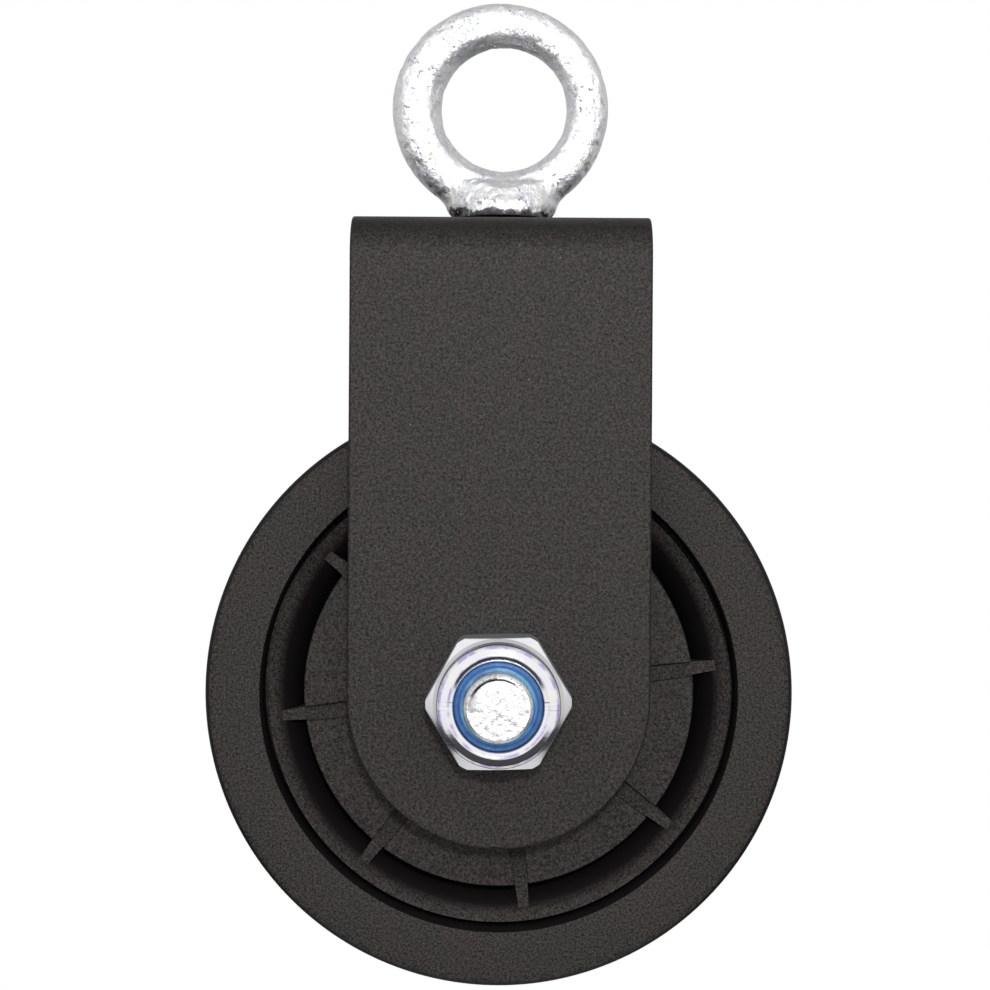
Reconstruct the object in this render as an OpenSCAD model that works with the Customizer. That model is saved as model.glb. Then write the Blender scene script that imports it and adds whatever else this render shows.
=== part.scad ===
// Single sheave block: a forged eye, a bent strap, and a grooved sheave on two sealed ball bearings.
// The origin is the centre of the eye. +Z is up, +X is to the right and -Y is the axle nut's side.

/* [Strap] */
// Width of the flat bar
strap_w = 45; // [42:0.5:48]
// Thickness of the flat bar
strap_t = 4; // [3:0.5:5]
// Clear gap between the two cheeks
cheek_gap = 28; // [27:0.5:32]
// Outside radius of the two bends beside the crown
bend_r = 6.5; // [6:0.5:8]
// Height from the axle to the top of the crown
crown_h = 72; // [70:1:80]

/* [Eye] */
// Diameter of the hole in the eye
eye_hole_d = 19.5; // [18:0.1:20]
// Outside diameter of the eye's ring
ring_d = 33.9; // [33:0.1:35]
// Height from the crown to the centre of the eye
eye_h = 18.5; // [18:0.5:21]
// Diameter of the round collar that stands on the crown
collar_d = 17.5; // [16.5:0.5:18]

/* [Sheave] */
// Outside diameter of the sheave
sheave_d = 89.2; // [88:0.2:92]
// Width of the sheave over its two rims
sheave_w = 24; // [23:0.5:26]
// Diameter at the bottom of the rope groove
tread_d = 73; // [72.6:0.2:75]
// Radius of the bottom of the rope groove
groove_r = 3; // [2.6:0.1:3.4]
// Number of ribs on each side of the sheave
rib_count = 8; // [4:1:12]
// Thickness of a rib where it leaves the disc
rib_t = 2.1; // [1.6:0.1:2.6]
// Angle from +X to the first rib
rib_angle = 7; // [0:1:44]

/* [Hidden] */
$fn = 96;
arc_steps = 8;

// How far a cut runs past the surface it opens, or a joined piece runs into the one it meets
bite = 1;

// Heights of the crown and the axle
crown_z = -eye_h;
axle_z = crown_z - crown_h;
cheek_y = cheek_gap / 2;
strap_y = cheek_y + strap_t;

// Gaps that let the eye turn in the crown
swivel_gap_r = 0.08;
swivel_gap_z = 0.05;

// Standard sizes of an M12 and an M10 bolt with self-locking nuts:
// [thread diameter, across flats, across corners, nut height, top of the hexagon, collar diameter]
axle_size = [12, 19, 21.2, 12, 8, 17.8];
eye_size = [10, 17, 19, 10, 6.6, 15.8];
chamfer_bite = 0.3;
axle_r = axle_size[0] / 2;
head_h = 7.5;
axle_hole_d = 13;
bolt_past_nut = 2;
bolt_point_r = 4.95;
bolt_tip_r = 4.2;
bolt_tip_h = 0.7;
thread_end = 1.5;
washer_d = 20;
washer_t = 2;
shank_past_nut = 1.5;
shank_chamfer = 1;

// Nylon ring in a nut: its wall and height, and how far below the nut's top its surfaces lie
insert_wall = 1.6;
insert_h = 3.5;
insert_side = 1.2;
insert_rim = 0.6;
insert_top = 0.35;
crimp_r = 1.2;
mouth_bite = 0.6;
mouth_h = 1.5;

// Standard sizes of a 6201 ball bearing
bearing_d = 32;
bearing_w = 10;
race_pitch_r = 11;
ball_r = 2.9765;
ball_count = 7;
race_gap = 0.06;
inner_shoulder_r = 9.15;
outer_shoulder_r = 13.3;
seal_r = 14;
seal_t = 0.9;
seal_inset = 0.1;
seal_lip_gap = 0.12;
cage_t = 1.4;
cage_w = 7.4;
slip = 0.02;

// Eye: the ring's round section is cut back to a narrow flat land at the hole
land_bite = 0.2;
ring_tube_r = (ring_d - eye_hole_d) / 4 + land_bite / 2;
ring_pitch_r = ring_d / 2 - ring_tube_r;
eye_seat = crown_z + swivel_gap_z;
collar_h = 1.5;
neck_top_r = ring_tube_r + 0.3;
neck_top_z = bite - ring_pitch_r;
web_r = 5.2;
web_h = 4.2;
web_t = 3;

// Sheave: radii and heights of one side's moulded face, from the rim in to the hub
rim_edge_r = 1.7;
gap_outer_r = 36.4;
gap_inner_r = 35.2;
gap_depth = 7;
shoulder_z = 9.3;
channel_r = 30;
channel_z = 2.8;
shoulder_bulge_r = 9;
disc_r = 29.7;
disc_z = 9.6;
boss_r = 19.5;
rib_end_r = 33.7;
rib_z = 8.2;
rib_end_t = 1.5;
slot_t = 2.3;
slot_root_t = 2.8;
land_r = 14;
face_z = sheave_w / 2;
stop_z = face_z - bearing_w;
spacer_r = 8.8;
bearing_spacer_r = 8.2;

// Points along an arc about [x, y]
function arc(x, y, r, from, to, steps = arc_steps) =
  [for (i = [0:steps]) let (a = from + (to - from) * i / steps) [x + r * cos(a), y + r * sin(a)]];

// Points along the arc of radius r that joins a to b and bulges to the right of the way from a to b
function bulge(a, b, r, steps = arc_steps) =
  let (
    half = norm(b - a) / 2,
    heading = atan2(b[1] - a[1], b[0] - a[0]),
    middle = (a + b) / 2,
    sink = sqrt(r * r - half * half),
    centre = middle + sink * [-sin(heading), cos(heading)],
    sweep = asin(half / r)
  )
  arc(centre[0], centre[1], r, heading - 90 - sweep, heading - 90 + sweep, steps);

// The same points mirrored across the mid-plane and in reverse, without the one that lies on it
function flipped(points) = [for (i = [len(points) - 1:-1:1]) [points[i][0], -points[i][1]]];

// Puts children on the axle, with their +Z pointing out of the nut's side
module on_axle() {
  translate([0, 0, axle_z]) rotate([90, 0, 0]) children();
}

module ring(outer_r, inner_r, low, high) {
  translate([0, 0, low]) difference() {
    cylinder(r = outer_r, h = high - low);
    translate([0, 0, -bite]) cylinder(r = inner_r, h = high - low + 2 * bite);
  }
}

// ---- strap ----

// End view of a bent bar, open at the bottom
module bent_outline(half_w, top, corner_r, bottom) {
  translate([-half_w, bottom]) square([2 * half_w, top - corner_r - bottom]);
  translate([-half_w + corner_r, bottom]) square([2 * (half_w - corner_r), top - bottom]);
  for (side = [-1, 1]) translate([side * (half_w - corner_r), top - corner_r]) circle(corner_r);
}

module strap_blank() {
  low = axle_z - strap_w;
  rotate([90, 0, 90]) translate([0, 0, -strap_w / 2]) linear_extrude(strap_w) difference() {
    bent_outline(strap_y, crown_z, bend_r, low);
    bent_outline(cheek_y, crown_z - strap_t, bend_r - strap_t, low - bite);
  }
}

module cheek_limits() {
  on_axle() cylinder(d = strap_w, h = 4 * strap_y, center = true, $fn = 180);
  translate([-strap_w, -2 * strap_y, axle_z]) cube([2 * strap_w, 4 * strap_y, 2 * crown_h]);
}

module strap() {
  color([0.17, 0.16, 0.155]) difference() {
    intersection() {
      strap_blank();
      cheek_limits();
    }
    on_axle() cylinder(d = axle_hole_d, h = 4 * strap_y, center = true);
    translate([0, 0, crown_z - 2 * strap_t]) cylinder(r = eye_size[0] / 2 + swivel_gap_r, h = 3 * strap_t);
  }
}

// ---- fasteners ----

// Hexagon with its corners turned down at the faces that are chamfered
module hex_body(size, height, low_chamfer, high_chamfer) {
  corner_r = size[2] / 2;
  face_r = size[1] / 2 - chamfer_bite;
  chamfer = (corner_r - face_r) * tan(30);
  intersection() {
    cylinder(d = size[1] / cos(30), h = height, $fn = 6);
    rotate_extrude() polygon([
      [0, 0],
      [low_chamfer ? face_r : corner_r, 0],
      [corner_r, low_chamfer ? chamfer : 0],
      [corner_r, high_chamfer ? height - chamfer : height],
      [high_chamfer ? face_r : corner_r, height],
      [0, height]
    ]);
  }
}

// Outline of the nylon ring. Where the thread ends inside the nut, its inner edge closes on the bolt's point.
function insert_outline(size, thread_ends_inside) =
  let (r = size[0] / 2, wall_r = r + insert_wall, top = size[3], base = top - insert_h)
  concat(
    [[r, base], [wall_r, base], [wall_r, top - insert_side], [r + mouth_bite, top - insert_rim]],
    thread_ends_inside ? [[bolt_point_r, top - insert_top], [r, top - thread_end]] : [[r, top - insert_rim]]
  );

module nut_insert(size, thread_ends_inside) {
  color([0.12, 0.36, 0.68]) rotate_extrude() polygon(insert_outline(size, thread_ends_inside));
}

// Self-locking nut that stands on z = 0: a hexagon and a round collar crimped over the nylon ring
module lock_nut(size) {
  collar_r = size[5] / 2;
  lip_z = size[3] - crimp_r;
  color([0.72, 0.73, 0.75]) difference() {
    union() {
      hex_body(size, size[4], true, true);
      rotate_extrude() {
        square([collar_r, lip_z]);
        translate([collar_r - crimp_r, lip_z]) circle(crimp_r, $fn = 32);
      }
    }
    rotate_extrude() polygon(insert_outline(size, false));
    translate([0, 0, -bite]) cylinder(d = size[0], h = size[3]);
    translate([0, 0, size[3] - mouth_h]) cylinder(r = size[0] / 2 + mouth_bite, h = 2 * mouth_h);
  }
}

module axle_bolt() {
  nut_top = strap_y + axle_size[3];
  tip = nut_top + bolt_past_nut;
  color([0.78, 0.78, 0.79]) on_axle() {
    rotate_extrude() polygon([
      [0, -strap_y - bite], [axle_r, -strap_y - bite], [axle_r, nut_top - thread_end],
      [bolt_point_r, nut_top - insert_top], [bolt_point_r, tip - bolt_tip_h], [bolt_tip_r, tip], [0, tip]
    ]);
    translate([0, 0, -strap_y - head_h]) hex_body(axle_size, head_h, true, false);
  }
}

module axle_nut() {
  on_axle() translate([0, 0, strap_y]) lock_nut(axle_size);
}

module axle_nut_insert() {
  on_axle() translate([0, 0, strap_y]) nut_insert(axle_size, true);
}

// ---- eye ----

washer_top = crown_z - strap_t - swivel_gap_z;
eye_nut_top = washer_top - washer_t;

// Round collar that tapers up to the thickness of the ring
module neck() {
  rotate_extrude() polygon([
    [0, eye_seat], [collar_d / 2, eye_seat], [collar_d / 2, eye_seat + collar_h],
    [neck_top_r, neck_top_z], [0, neck_top_z]
  ]);
}

// Web that spreads in an arc from the collar out to the ring, seen from the front
module neck_web() {
  r = collar_d / 2;
  sweep = asin(web_h / web_r);
  flare = arc(r + web_r, eye_seat + collar_h, web_r, 180, 180 - sweep);
  rotate([90, 0, 0]) linear_extrude(web_t, center = true) polygon(concat(
    flare, [for (i = [len(flare) - 1:-1:0]) [-flare[i][0], flare[i][1]]]
  ));
}

module eye_bolt() {
  shank_r = eye_size[0] / 2;
  shank_end = eye_nut_top - eye_size[3] - shank_past_nut;
  color([0.8, 0.8, 0.81]) difference() {
    union() {
      rotate([90, 0, 0]) rotate_extrude() translate([ring_pitch_r, 0]) circle(ring_tube_r, $fn = 64);
      neck();
      neck_web();
      rotate_extrude() polygon([
        [0, crown_z + bite], [shank_r, crown_z + bite],
        [shank_r, shank_end + shank_chamfer], [shank_r - shank_chamfer, shank_end], [0, shank_end]
      ]);
    }
    rotate([90, 0, 0]) cylinder(d = eye_hole_d, h = 4 * ring_tube_r, center = true);
  }
}

module eye_washer() {
  color([0.75, 0.75, 0.76])
    ring(washer_d / 2, eye_size[0] / 2 + slip, washer_top - washer_t, washer_top);
}

module eye_nut() {
  translate([0, 0, eye_nut_top]) rotate([180, 0, 0]) lock_nut(eye_size);
}

module eye_nut_insert() {
  translate([0, 0, eye_nut_top]) rotate([180, 0, 0]) nut_insert(eye_size, false);
}

// ---- spacers ----

module spacer() {
  color([0.62, 0.63, 0.65]) ring(spacer_r, axle_r + slip, face_z, cheek_y);
}

module front_spacer() {
  on_axle() spacer();
}

module rear_spacer() {
  on_axle() mirror([0, 0, 1]) spacer();
}

module bearing_spacer() {
  color([0.62, 0.63, 0.65]) on_axle() ring(bearing_spacer_r, axle_r + slip, -stop_z, stop_z);
}

// ---- sheave ----

// Half of the sheave's section, from its mid-plane out to one face. The groove wall is the straight
// line that touches both the round bottom and the round edge of the rim.
function sheave_half_outline() =
  let (
    bottom = [tread_d / 2 + groove_r, 0],
    edge = [sheave_d / 2 - rim_edge_r, face_z - rim_edge_r],
    across = edge - bottom,
    lean = atan2(across[1], across[0]) + acos((groove_r + rim_edge_r) / norm(across))
  )
  concat(
    arc(bottom[0], bottom[1], groove_r, 180, lean),
    arc(edge[0], edge[1], rim_edge_r, lean - 180, 90),
    [[gap_outer_r, face_z], [gap_outer_r, face_z - gap_depth], [gap_inner_r, face_z - gap_depth]],
    bulge([gap_inner_r, shoulder_z], [channel_r, channel_z], shoulder_bulge_r),
    [[disc_r, channel_z], [disc_r, disc_z], [boss_r, disc_z], [boss_r, face_z]],
    [[bearing_d / 2, face_z], [bearing_d / 2, stop_z], [land_r, stop_z]]
  );

module sheave_turned() {
  half = sheave_half_outline();
  rotate_extrude($fn = 120) polygon(concat(half, flipped(half)));
}

module at_each_rib() {
  for (side = [0, 1], i = [0:rib_count - 1])
    mirror([0, 0, side]) rotate(rib_angle + i * 360 / rib_count) children();
}

// Bar along +X between two radii whose thickness changes evenly from one end to the other
module tapered_bar(from_r, from_t, to_r, to_t, low, high) {
  translate([0, 0, low]) linear_extrude(high - low) polygon([
    [from_r, -from_t / 2], [to_r, -to_t / 2], [to_r, to_t / 2], [from_r, from_t / 2]
  ]);
}

// A rib crosses the channel at the height of the shallow slot that leads it across the disc
module rib() {
  tapered_bar(disc_r - bite, rib_t, rib_end_r, rib_end_t, 0, rib_z);
}

module rib_slot() {
  tapered_bar(boss_r, slot_root_t, disc_r + bite, slot_t, rib_z, disc_z + bite);
}

module sheave() {
  color([0.19, 0.18, 0.17]) on_axle() {
    difference() {
      sheave_turned();
      at_each_rib() rib_slot();
    }
    at_each_rib() rib();
  }
}

// ---- bearings, drawn about their own mid-plane ----

bearing_mid = face_z - bearing_w / 2;
track_r = ball_r + race_gap;

module front_bearing() {
  on_axle() translate([0, 0, bearing_mid]) children();
}

module rear_bearing() {
  on_axle() mirror([0, 0, 1]) translate([0, 0, bearing_mid]) children();
}

module outer_ring() {
  recess_z = bearing_w / 2 - seal_inset - seal_t;
  half_w = bearing_w / 2;
  color([0.66, 0.67, 0.69]) rotate_extrude() difference() {
    translate([outer_shoulder_r, -half_w]) square([bearing_d / 2 - outer_shoulder_r, bearing_w]);
    translate([race_pitch_r, 0]) circle(track_r);
    for (low = [recess_z, -half_w - bite])
      translate([outer_shoulder_r - bite, low])
        square([seal_r - outer_shoulder_r + bite, half_w + bite - recess_z]);
  }
}

module inner_ring() {
  color([0.66, 0.67, 0.69]) rotate_extrude() difference() {
    translate([axle_r + slip, -bearing_w / 2]) square([inner_shoulder_r - axle_r - slip, bearing_w]);
    translate([race_pitch_r, 0]) circle(track_r);
  }
}

module at_each_ball() {
  for (i = [0:ball_count - 1]) rotate(i * 360 / ball_count) translate([race_pitch_r, 0, 0]) children();
}

module balls() {
  color([0.8, 0.81, 0.83]) at_each_ball() sphere(ball_r);
}

module cage() {
  color([0.55, 0.47, 0.3]) difference() {
    ring(race_pitch_r + cage_t / 2, race_pitch_r - cage_t / 2, -cage_w / 2, cage_w / 2);
    at_each_ball() rotate([0, 90, 0]) cylinder(r = track_r, h = 3 * cage_t, center = true);
  }
}

module seal() {
  outboard = bearing_w / 2 - seal_inset;
  color([0.08, 0.08, 0.085]) ring(seal_r, inner_shoulder_r + seal_lip_gap, outboard - seal_t, outboard);
}

module front_bearing_outer_ring() {
  front_bearing() outer_ring();
}

module front_bearing_inner_ring() {
  front_bearing() inner_ring();
}

module front_bearing_balls() {
  front_bearing() balls();
}

module front_bearing_cage() {
  front_bearing() cage();
}

module front_bearing_outboard_seal() {
  front_bearing() seal();
}

module front_bearing_inboard_seal() {
  front_bearing() mirror([0, 0, 1]) seal();
}

module rear_bearing_outer_ring() {
  rear_bearing() outer_ring();
}

module rear_bearing_inner_ring() {
  rear_bearing() inner_ring();
}

module rear_bearing_balls() {
  rear_bearing() balls();
}

module rear_bearing_cage() {
  rear_bearing() cage();
}

module rear_bearing_outboard_seal() {
  rear_bearing() seal();
}

module rear_bearing_inboard_seal() {
  rear_bearing() mirror([0, 0, 1]) seal();
}

strap();
eye_bolt();
eye_washer();
eye_nut();
eye_nut_insert();
axle_bolt();
axle_nut();
axle_nut_insert();
front_spacer();
rear_spacer();
bearing_spacer();
sheave();
front_bearing_outer_ring();
front_bearing_inner_ring();
front_bearing_balls();
front_bearing_cage();
front_bearing_outboard_seal();
front_bearing_inboard_seal();
rear_bearing_outer_ring();
rear_bearing_inner_ring();
rear_bearing_balls();
rear_bearing_cage();
rear_bearing_outboard_seal();
rear_bearing_inboard_seal();
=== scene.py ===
"""Looks for a pulley block: a powder-coated strap, a moulded sheave and a zinc-plated eye, nut and bolt.

Shapes are worked out in millimetres, in the CAD's frame, and make_mesh turns them into metres.
"""

import math
from collections import namedtuple

import bmesh
import bpy
import numpy as np
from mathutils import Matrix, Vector


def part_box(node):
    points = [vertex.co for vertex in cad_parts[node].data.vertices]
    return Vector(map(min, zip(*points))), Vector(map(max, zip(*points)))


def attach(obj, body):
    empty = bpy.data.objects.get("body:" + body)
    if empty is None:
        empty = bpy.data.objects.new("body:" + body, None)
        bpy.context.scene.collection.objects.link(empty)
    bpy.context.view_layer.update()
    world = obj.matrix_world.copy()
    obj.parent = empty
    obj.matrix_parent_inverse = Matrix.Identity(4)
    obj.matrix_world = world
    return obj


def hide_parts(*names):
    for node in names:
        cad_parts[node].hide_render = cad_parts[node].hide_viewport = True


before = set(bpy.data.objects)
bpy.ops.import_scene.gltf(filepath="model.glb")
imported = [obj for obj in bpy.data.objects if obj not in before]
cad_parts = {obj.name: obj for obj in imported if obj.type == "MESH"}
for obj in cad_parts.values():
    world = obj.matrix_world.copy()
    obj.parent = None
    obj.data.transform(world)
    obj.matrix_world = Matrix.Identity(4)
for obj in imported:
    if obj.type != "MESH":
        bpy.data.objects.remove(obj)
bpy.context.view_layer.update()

MM = 0.001

# ---- sizes, from the frame where it has them ----


def box_mm(node):
    """The lowest and highest corner of a CAD node, in millimetres."""
    low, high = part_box(node)
    return np.array(low) / MM, np.array(high) / MM


_, strap_high = box_mm("strap")
eye_low, eye_high = box_mm("eye_bolt")
nut_low, nut_high = box_mm("axle_nut")
bolt_low, bolt_high = box_mm("axle_bolt")
_, spacer_high = box_mm("rear_spacer")
_, sheave_high = box_mm("sheave")
washer_low, washer_high = box_mm("eye_washer")
eye_nut_low, eye_nut_high = box_mm("eye_nut")

AXLE_Z = (nut_low[2] + nut_high[2]) / 2

# The strap. Its outer face is at STRAP_Y and its inner face at CHEEK_Y
CROWN_Z = strap_high[2]
STRAP_Y = strap_high[1]
CHEEK_Y = spacer_high[1]
STRAP_HALF_W = strap_high[0]
STRAP_BEND_R = 6.5
STRAP_EDGE_R = 0.38
AXLE_HOLE_R = 6.5
THROUGH = 30

# The eye. Its hole is RING_OFFSET off the ring's centre, and its top is flatter by up to twice FLAT_TOP
RING_OUTER_R = eye_high[0]
EYE_HOLE_R = 9.82
RING_TUBE_R = (RING_OUTER_R - EYE_HOLE_R) / 2
RING_OFFSET = 0.3
FLAT_TOP = 0.2
SECTION_POWER = 2.45
LEAD_IN_R = 11.35
LEAD_IN_HALF = 3.35
LEAD_IN_TILT = math.radians(54)
EYE_SEAT_Z = CROWN_Z + 0.05
COLLAR_R = 8.72
COLLAR_H = 1.7
NECK_HALF_DEEP = 7.5
NECK_H = 6.6
NECK_FOOT_R = 3.8
SHANK_R = 5.0
SHANK_PLAY = 0.08
SHANK_END_Z = eye_low[2]
SHANK_PITCH = 1.5
SHANK_THREAD_DEPTH = 0.75

# The sheave. Heights are from its middle plane
SHEAVE_R = sheave_high[0] - 0.02
RIM_Z = sheave_high[1]
RIM_EDGE_R = 1.7
TREAD_R = 36.5
GROOVE_R = 3.0
GAP_OUTER_R = 36.15
GAP_INNER_R = 35.2
GAP_FLOOR_Z = 5.0
SHOULDER_Z = 9.3
CHANNEL_R = 30.0
CHANNEL_Z = 2.8
DISC_R = 29.7
DISC_Z = 9.6
BOSS_R = 19.5
BEARING_R = 16.0
BEARING_STOP_Z = 2.0
LAND_R = 14.0
RIB_COUNT = 8
RIB_ANGLE = math.radians(7)
RIB_Z = 8.2
RIB_END_R = 33.7
RIB_ROOT_T = 2.1
RIB_TIP_T = 1.5
SLOT_T = 2.3
SLOT_ROOT_T = 2.8
SLOPE_R = 9.0

# The axle bolt and both lock nuts. Heights are from the middle plane or the face that a nut bears on
AXLE_R = 6.0
AXLE_NUT_H = nut_high[1] - nut_low[1]
HEX_HALF_FLAT = (nut_high[2] - nut_low[2]) / 2
HEX_CORNER_R = nut_high[0]
NUT_TURN = math.radians(1.2)
NUT_WALL = 1.6
HEAD_H = bolt_high[1] - STRAP_Y
BOLT_TIP_Z = -bolt_low[1]
BOLT_TIP_R = 4.92
CREVICE_R = 4.3
CREVICE_DEPTH = 1.1
EYE_NUT_H = eye_nut_high[2] - eye_nut_low[2]

NutSizes = namedtuple("NutSizes", "bore_r half_flat corner_r height hex_h collar_r crest_r")


# ---- outlines ----


def arc(centre, radius, start, end, steps=8):
    """Points along an arc, with angles in degrees."""
    angles = np.radians(np.linspace(start, end, steps + 1))
    return [(centre[0] + radius * math.cos(a), centre[1] + radius * math.sin(a)) for a in angles]


def rounded(corners, closed=True, steps=5):
    """An outline of (r, h) points from corners of (r, h, fillet radius)."""
    points = []
    count = len(corners)
    for i, (r, h, fillet) in enumerate(corners):
        here = np.array((r, h), float)
        if fillet <= 0 or (not closed and i in (0, count - 1)):
            points.append((r, h))
            continue
        back = np.array(corners[i - 1][:2], float) - here
        ahead = np.array(corners[(i + 1) % count][:2], float) - here
        back_len, ahead_len = np.linalg.norm(back), np.linalg.norm(ahead)
        back, ahead = back / back_len, ahead / ahead_len
        half = math.acos(np.clip(back @ ahead, -1, 1)) / 2
        reach = min(fillet / math.tan(half), 0.499 * back_len, 0.499 * ahead_len)
        radius = reach * math.tan(half)
        middle = (back + ahead) / np.linalg.norm(back + ahead)
        centre = here + middle * radius / math.sin(half)
        first, last = here + back * reach - centre, here + ahead * reach - centre
        start = math.atan2(first[1], first[0])
        turn = (math.atan2(last[1], last[0]) - start + math.pi) % (2 * math.pi) - math.pi
        for k in range(steps + 1):
            a = start + turn * k / steps
            points.append((centre[0] + radius * math.cos(a), centre[1] + radius * math.sin(a)))
    return points


def refined(points, longest):
    """The same open outline with its long stretches split, so that no step is over longest."""
    fine = [points[0]]
    for a, b in zip(points, points[1:]):
        pieces = max(1, math.ceil(math.dist(a, b) / longest))
        for k in range(1, pieces + 1):
            fine.append((a[0] + (b[0] - a[0]) * k / pieces, a[1] + (b[1] - a[1]) * k / pieces))
    return fine


# ---- meshes ----


def make_mesh(name, points, faces, sharp_degrees=None):
    """A smooth-shaded object from millimetre points. Edges steeper than sharp_degrees stay crisp."""
    mesh = bpy.data.meshes.new(name)
    mesh.from_pydata((np.asarray(points, float) * MM).tolist(), [], faces)
    work = bmesh.new()
    work.from_mesh(mesh)
    bmesh.ops.remove_doubles(work, verts=work.verts, dist=1e-7)
    bmesh.ops.recalc_face_normals(work, faces=work.faces)
    work.to_mesh(mesh)
    work.free()
    piece = bpy.data.objects.new(name, mesh)
    bpy.context.scene.collection.objects.link(piece)
    shade(piece, sharp_degrees)
    return piece


def shade(piece, sharp_degrees=None):
    piece.data.shade_smooth()
    if sharp_degrees:
        piece.data.set_sharp_from_angle(angle=math.radians(sharp_degrees))


def on_axle(across, along, up):
    """Places a turned piece on the axle, with its own axis pointing out of the nut's side."""
    return np.stack([across, -along, AXLE_Z + up], -1)


def on_shank(across, along, up):
    """Places a turned piece on the eye's shank, with its own axis pointing up."""
    return np.stack([across, -up, along], -1)


def lathe(name, outline, place, segments=192, closed=True, shape=None, sharp_degrees=35):
    """Turns an outline of (radius, height) points about an axis. shape may change the points."""
    outline = np.array(outline, float)
    angles = np.linspace(0, 2 * math.pi, segments, endpoint=False)
    radius = np.repeat(outline[:, :1], segments, 1)
    height = np.repeat(outline[:, 1:], segments, 1)
    turn = np.repeat(angles[None, :], len(outline), 0)
    if shape:
        radius, height = shape(radius, turn, height)
    points = place(radius * np.cos(turn), height, radius * np.sin(turn)).reshape(-1, 3)
    rows = len(outline)
    faces = []
    for i in range(rows if closed else rows - 1):
        a, b = i * segments, (i + 1) % rows * segments
        for k in range(segments):
            n = (k + 1) % segments
            faces.append((a + k, a + n, b + n, b + k))
    if not closed:
        for row, end in ((0, outline[0]), (rows - 1, outline[-1])):
            if end[0] > 1e-6:
                faces.append(tuple(row * segments + k for k in range(segments)))
    return make_mesh(name, points, faces, sharp_degrees)


def prism(name, outline, low, high, place):
    """A solid block with the given (x, y) outline between two heights."""
    count = len(outline)
    across = np.array([p[0] for p in outline] * 2, float)
    up = np.array([p[1] for p in outline] * 2, float)
    along = np.array([low] * count + [high] * count, float)
    faces = [(k, (k + 1) % count, (k + 1) % count + count, k + count) for k in range(count)]
    faces += [tuple(range(count)), tuple(range(count, 2 * count))]
    return make_mesh(name, place(across, along, up), faces, 20)


def combine(piece, tools, operation):
    """Joins the tools to the piece, or cuts them from it, and removes them."""
    for tool in tools:
        step = piece.modifiers.new("combine", "BOOLEAN")
        step.operation = operation
        step.solver = "EXACT"
        step.object = tool
    apply_modifiers(piece)
    for tool in tools:
        bpy.data.objects.remove(tool)


def apply_modifiers(piece):
    depsgraph = bpy.context.evaluated_depsgraph_get()
    mesh = bpy.data.meshes.new_from_object(piece.evaluated_get(depsgraph))
    piece.modifiers.clear()
    old = piece.data
    piece.data = mesh
    bpy.data.meshes.remove(old)


# ---- materials ----


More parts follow.
